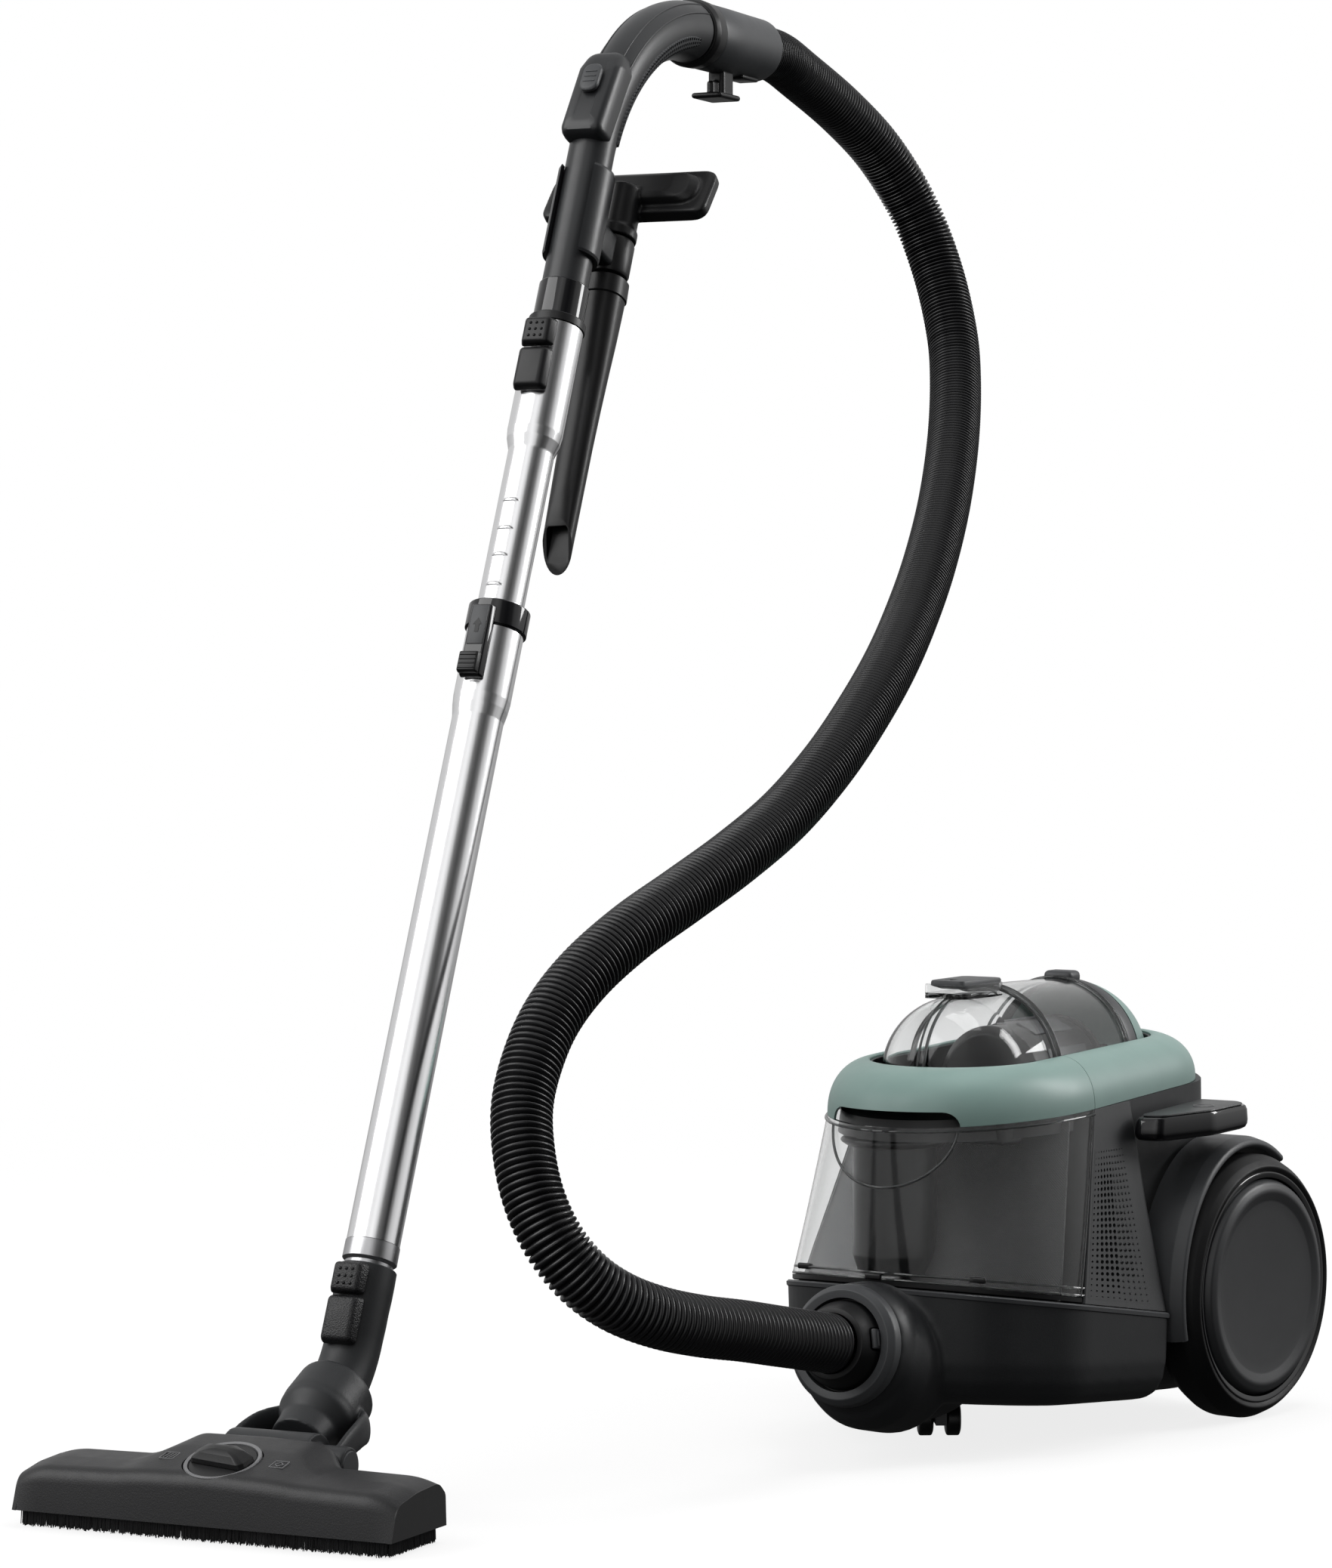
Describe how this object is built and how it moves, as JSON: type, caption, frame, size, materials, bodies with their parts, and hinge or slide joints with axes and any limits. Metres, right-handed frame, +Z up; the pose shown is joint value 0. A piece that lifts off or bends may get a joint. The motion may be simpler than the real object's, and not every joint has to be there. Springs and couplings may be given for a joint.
{
  "type": "canister vacuum cleaner",
  "caption": "Bagless canister vacuum cleaner with clear lift-off dust bin, big rear wheels, ribbed hose, telescopic wand, arched handle with tools, and swivelling floor nozzle.",
  "frame": {"origin": "on the floor under the middle of the whole object", "axes": "+Z up; the canister and the nozzle face -Y; +X is the canister's left-hand wheel seen from behind"},
  "size_m": [0.5102, 1.11, 1.0727],
  "materials": {
    "dark_plastic": "satin charcoal, fine grain",
    "grey_plastic": "satin dark grey, fine grain",
    "black_plastic": "satin black",
    "gloss_black": "gloss black",
    "green_plastic": "satin sage green",
    "smoked_clear": "lightly smoked clear plastic",
    "aluminium": "satin drawn tube",
    "soft_rubber": "matt black rubber",
    "hose_plastic": "black corrugated hose",
    "bristle": "black bristle strip",
    "filter_mesh": "fine mesh",
    "steel": "pressed steel",
    "filter_paper": "white filter fleece"
  },
  "bodies": {
    "canister": {"base_shell": "dark_plastic", "inlet_bezel": "grey_plastic", "rear_housing": "dark_plastic", "rear_frame": "green_plastic", "wheel_arch_left": "grey_plastic", "wheel_arch_right": "grey_plastic", "dome_end_cap": "grey_plastic", "motor_can": "steel", "exhaust_filter": "filter_paper", "cyclone_seal": "soft_rubber", "hose": "hose_plastic", "handle_grip": "dark_plastic", "handle_collar": "black_plastic", "handle_sleeve": "grey_plastic", "slider_housing": "black_plastic", "gloss_collar": "gloss_black", "upper_tube": "aluminium", "upper_ring": "black_plastic", "upper_latch_pad": "black_plastic", "accessory_holder": "dark_plastic"},
    "fan": {"motor_fan": "black_plastic"},
    "reel": {"cord_reel": "black_plastic"},
    "wheel_left": {"tyre_left": "soft_rubber", "hub_left": "grey_plastic"},
    "wheel_right": {"tyre_right": "soft_rubber", "hub_right": "grey_plastic"},
    "caster_fork": {"caster_fork": "grey_plastic"},
    "caster_wheels": {"caster_wheel_a": "black_plastic", "caster_wheel_b": "black_plastic"},
    "power_pedal": {"power_pedal": "gloss_black"},
    "rewind_pedal": {"rewind_pedal": "gloss_black"},
    "bin": {"bin_shell": "smoked_clear", "bin_floor": "black_plastic", "separator_tube": "grey_plastic", "mesh_screen": "filter_mesh", "cyclone_cylinder": "black_plastic", "front_frame": "green_plastic", "front_dome": "smoked_clear", "rear_dome": "smoked_clear"},
    "bin_latch": {"dome_latch": "grey_plastic"},
    "hose_cuff": {"hose_cuff": "black_plastic"},
    "cuff_tab": {"cuff_tab": "grey_plastic"},
    "suction_slider": {"suction_slider": "grey_plastic"},
    "upper_latch_button": {"upper_latch_button": "black_plastic"},
    "lower_wand": {"lower_tube": "aluminium", "telescope_ring": "gloss_black", "slide_track": "grey_plastic", "elbow": "dark_plastic", "lower_latch_pad": "black_plastic"},
    "telescope_button": {"telescope_button": "black_plastic"},
    "lower_latch_button": {"lower_latch_button": "black_plastic"},
    "yoke": {"neck_yoke": "dark_plastic"},
    "nozzle": {"nozzle_body": "black_plastic", "nozzle_sole": "grey_plastic"},
    "brush": {"brush_strip": "bristle"},
    "dial": {"dial_knob": "grey_plastic"},
    "roller": {"nozzle_roller": "grey_plastic"},
    "crevice_tool": {"crevice_tool": "black_plastic"},
    "upholstery_tool": {"upholstery_tool": "black_plastic"}
  },
  "joints": [
    {"name": "fan_spin", "type": "hinge", "parent": "canister", "child": "fan", "pos_m": [0.1379, 0.2353, 0.096], "axis": [0, 1, 0], "continuous": true},
    {"name": "reel_spin", "type": "hinge", "parent": "canister", "child": "reel", "pos_m": [0.0489, 0.3093, 0.098], "axis": [1, 0, 0], "continuous": true},
    {"name": "wheel_left_spin", "type": "hinge", "parent": "canister", "child": "wheel_left", "pos_m": [0.22815, 0.3743, 0.098], "axis": [0.9954, -0.0958, 0], "continuous": true},
    {"name": "wheel_right_spin", "type": "hinge", "parent": "canister", "child": "wheel_right", "pos_m": [-0.04035, 0.3743, 0.098], "axis": [0.9954, 0.0958, 0], "continuous": true},
    {"name": "caster_swivel", "type": "hinge", "parent": "canister", "child": "caster_fork", "pos_m": [0.0939, 0.1573, 0.03], "axis": [0, 0, 1], "continuous": true},
    {"name": "caster_roll", "type": "hinge", "parent": "caster_fork", "child": "caster_wheels", "pos_m": [0.08243, 0.17368, 0.0125], "axis": [-0.8192, -0.5736, 0], "continuous": true},
    {"name": "power_press", "type": "slide", "parent": "canister", "child": "power_pedal", "axis": [0, 0, -1], "range_m": [0, 0.004], "stiffness_N_per_m": 900, "springref_m": -0.003},
    {"name": "rewind_press", "type": "slide", "parent": "canister", "child": "rewind_pedal", "axis": [0, 0, -1], "range_m": [0, 0.004], "stiffness_N_per_m": 900, "springref_m": -0.003},
    {"name": "bin_lift", "type": "slide", "parent": "canister", "child": "bin", "axis": [0, -0.3499, 0.9368], "range_m": [0, 0.16]},
    {"name": "latch_press", "type": "slide", "parent": "bin", "child": "bin_latch", "axis": [0, 0, -1], "range_m": [0, 0.0015], "stiffness_N_per_m": 500, "springref_m": -0.002},
    {"name": "cuff_swivel", "type": "hinge", "parent": "canister", "child": "hose_cuff", "pos_m": [0.0939, 0.0253, 0.084], "axis": [0, -0.982, 0.1891], "continuous": true},
    {"name": "tab_press", "type": "slide", "parent": "hose_cuff", "child": "cuff_tab", "axis": [-0.9781, -0.0393, -0.2042], "range_m": [0, 0.0015], "stiffness_N_per_m": 400, "springref_m": -0.002},
    {"name": "suction_slide", "type": "slide", "parent": "canister", "child": "suction_slider", "axis": [0.072, -0.5472, -0.8339], "range_m": [0, 0.012]},
    {"name": "upper_latch_press", "type": "slide", "parent": "canister", "child": "upper_latch_button", "axis": [-0.1197, 0.9092, -0.3987], "range_m": [0, 0.002], "stiffness_N_per_m": 400, "springref_m": -0.002},
    {"name": "telescope", "type": "slide", "parent": "canister", "child": "lower_wand", "axis": [-0.052, 0.3953, 0.9171], "range_m": [0, 0.11]},
    {"name": "telescope_release", "type": "slide", "parent": "lower_wand", "child": "telescope_button", "axis": [-0.052, 0.3953, 0.9171], "range_m": [0, 0.008], "stiffness_N_per_m": 400, "springref_m": -0.002},
    {"name": "lower_latch_press", "type": "slide", "parent": "lower_wand", "child": "lower_latch_button", "axis": [-0.1197, 0.9092, -0.3987], "range_m": [0, 0.002], "stiffness_N_per_m": 400, "springref_m": -0.002},
    {"name": "neck_swivel", "type": "hinge", "parent": "lower_wand", "child": "yoke", "pos_m": [-0.12562, -0.28585, 0.0655], "axis": [-0.1155, 0.877, 0.4664], "range_deg": [-60, 60]},
    {"name": "nozzle_tilt", "type": "hinge", "parent": "yoke", "child": "nozzle", "pos_m": [-0.11629, -0.35674, 0.038], "axis": [0.9914, 0.1305, 0], "range_deg": [-30, 20]},
    {"name": "dial_turn", "type": "hinge", "parent": "nozzle", "child": "dial", "pos_m": [-0.10755, -0.42317, 0.0485], "axis": [0.0403, -0.3064, 0.9511], "range_deg": [0, 90]},
    {"name": "brush_lift", "type": "slide", "parent": "nozzle", "child": "brush", "axis": [0, 0, 1], "range_m": [0, 0.006]},
    {"name": "roller_spin", "type": "hinge", "parent": "nozzle", "child": "roller", "pos_m": [-0.11133, -0.39441, 0.005], "axis": [0.9914, 0.1305, 0], "continuous": true},
    {"name": "crevice_pull", "type": "slide", "parent": "canister", "child": "crevice_tool", "axis": [0.052, -0.3953, -0.9171], "range_m": [0, 0.1]},
    {"name": "upholstery_pull", "type": "slide", "parent": "canister", "child": "upholstery_tool", "axis": [-0.052, 0.3953, 0.9171], "range_m": [0, 0.04]}
  ],
  "couplings": [
    {"joint": "dial_turn", "follows": "brush_lift", "rad_per_m": 261.79}
  ]
}
